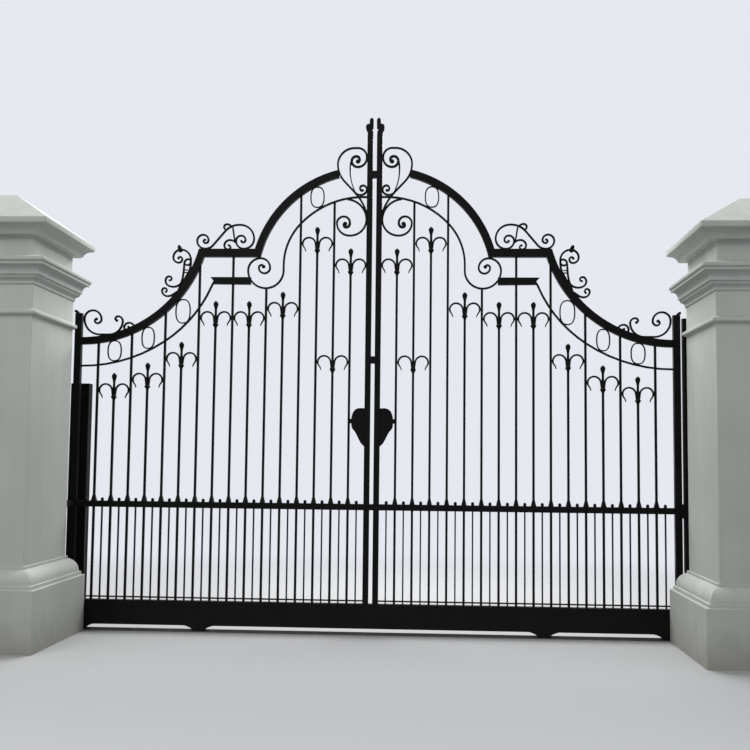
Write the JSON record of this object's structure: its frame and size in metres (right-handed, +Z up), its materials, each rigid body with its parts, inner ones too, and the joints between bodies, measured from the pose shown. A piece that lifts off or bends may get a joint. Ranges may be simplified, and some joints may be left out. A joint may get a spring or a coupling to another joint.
{
  "type": "sliding driveway gate with two pillars",
  "caption": "Black wrought iron sliding driveway gate with an arched scrollwork crest, spear pickets and dog bars, rolling on a ground track behind two square rendered pillars.",
  "frame": {"origin": "underside of the track's sole plate, under the seam in the middle of the leaf", "axes": "+X to the right seen from the driveway, +Y away from the driveway, +Z up"},
  "size_m": [11.644, 1.445, 4.562],
  "materials": {
    "black_iron": "satin black gate paint",
    "stucco": "painted smooth render",
    "rail_steel": "weathered galvanised",
    "wheel_steel": "turned",
    "nylon": "matt"
  },
  "bodies": {
    "fixed_works": {"catch_post": "black_iron", "end_stop": "black_iron", "ground_track": "rail_steel", "guide_arms": "black_iron", "guide_post": "black_iron", "guide_shoes": "nylon", "left_base_moulding": "stucco", "left_lower_cornice": "stucco", "left_pillar_cap": "stucco", "left_pillar_plinth": "stucco", "left_pillar_shaft": "stucco", "left_string_course": "stucco", "left_upper_cornice": "stucco", "right_base_moulding": "stucco", "right_lower_cornice": "stucco", "right_pillar_cap": "stucco", "right_pillar_plinth": "stucco", "right_pillar_shaft": "stucco", "right_string_course": "stucco", "right_upper_cornice": "stucco"},
    "leaf": {"bottom_beam": "black_iron", "centre_stiles": "black_iron", "dog_bar_knobs": "black_iron", "dog_bars": "black_iron", "end_scrolls": "black_iron", "end_stiles": "black_iron", "fleur_hooks": "black_iron", "heart_scrolls": "black_iron", "inner_bands": "black_iron", "lock_plates": "black_iron", "lower_bands": "black_iron", "lower_pickets": "black_iron", "mid_rail": "black_iron", "oval_rings": "black_iron", "picket_collars": "black_iron", "shoulder_crests": "black_iron", "shoulder_stubs": "black_iron", "sill_bars": "black_iron", "spear_pickets": "black_iron", "spear_tips": "black_iron", "stile_finials": "black_iron", "sweep_crests": "black_iron", "tall_pickets": "black_iron", "tie_blocks": "black_iron", "top_rails": "black_iron", "under_scrolls": "black_iron", "wheel_housings": "black_iron"},
    "wheel_1": {"wheel_1": "wheel_steel"},
    "wheel_2": {"wheel_2": "wheel_steel"},
    "wheel_3": {"wheel_3": "wheel_steel"},
    "wheel_4": {"wheel_4": "wheel_steel"}
  },
  "joints": [
    {"name": "leaf_slide", "type": "slide", "parent": "fixed_works", "child": "leaf", "axis": [-1, 0, 0], "range_m": [0, 5.1]},
    {"name": "wheel_1_roll", "type": "hinge", "parent": "leaf", "child": "wheel_1", "pos_m": [-2.545, 0, 0.07], "axis": [0, -1, 0], "range_deg": [0, 5850]},
    {"name": "wheel_2_roll", "type": "hinge", "parent": "leaf", "child": "wheel_2", "pos_m": [-1.49, 0, 0.07], "axis": [0, -1, 0], "range_deg": [0, 5850]},
    {"name": "wheel_3_roll", "type": "hinge", "parent": "leaf", "child": "wheel_3", "pos_m": [1.49, 0, 0.07], "axis": [0, -1, 0], "range_deg": [0, 5850]},
    {"name": "wheel_4_roll", "type": "hinge", "parent": "leaf", "child": "wheel_4", "pos_m": [2.545, 0, 0.07], "axis": [0, -1, 0], "range_deg": [0, 5850]}
  ],
  "couplings": [
    {"joint": "wheel_1_roll", "follows": "leaf_slide", "rad_per_m": 20},
    {"joint": "wheel_2_roll", "follows": "leaf_slide", "rad_per_m": 20},
    {"joint": "wheel_3_roll", "follows": "leaf_slide", "rad_per_m": 20},
    {"joint": "wheel_4_roll", "follows": "leaf_slide", "rad_per_m": 20}
  ]
}
